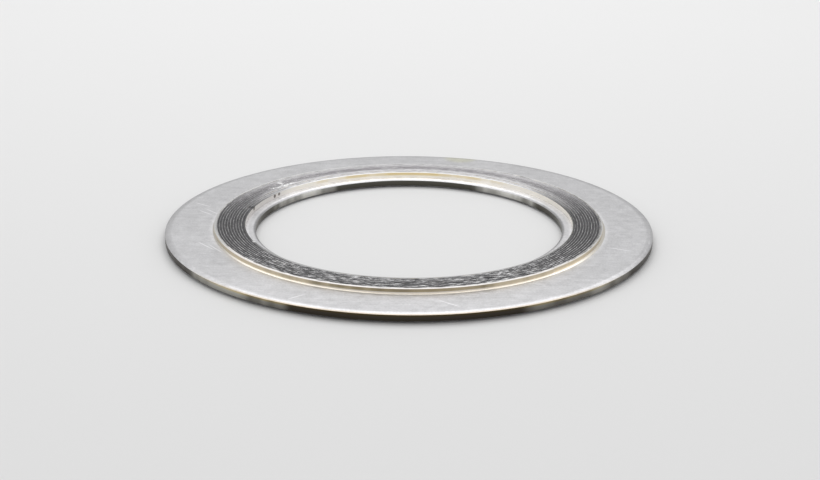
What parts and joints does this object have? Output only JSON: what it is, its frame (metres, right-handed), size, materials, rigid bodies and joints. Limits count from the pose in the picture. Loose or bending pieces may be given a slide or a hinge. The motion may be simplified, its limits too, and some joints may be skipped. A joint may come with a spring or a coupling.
{
  "type": "spiral wound gasket",
  "caption": "Flat round gasket: a band of steel strip and graphite, wound on a spiral, held between a narrow inner ring and a wide outer centring ring.",
  "frame": {"origin": "on the gasket's axis, in the plane of its lower sealing face", "axes": "+Z along the axis, from the face it lies on to its upper sealing face; +X and +Y across the faces, with the strip's inner end 204 degrees round from +X"},
  "size_m": [0.1494, 0.1494, 0.0045],
  "materials": {
    "ring_steel": "dull pale grey, tumbled, with bright rolled edges",
    "strip_steel": "bright cold-rolled strip with a faint straw tint",
    "graphite": "flexible graphite, dark grey with a soft sheen"
  },
  "bodies": {
    "root": {"outer_ring": "ring_steel", "inner_ring": "ring_steel", "winding_strip": "strip_steel", "filler_strip": "graphite"}
  },
  "joints": []
}
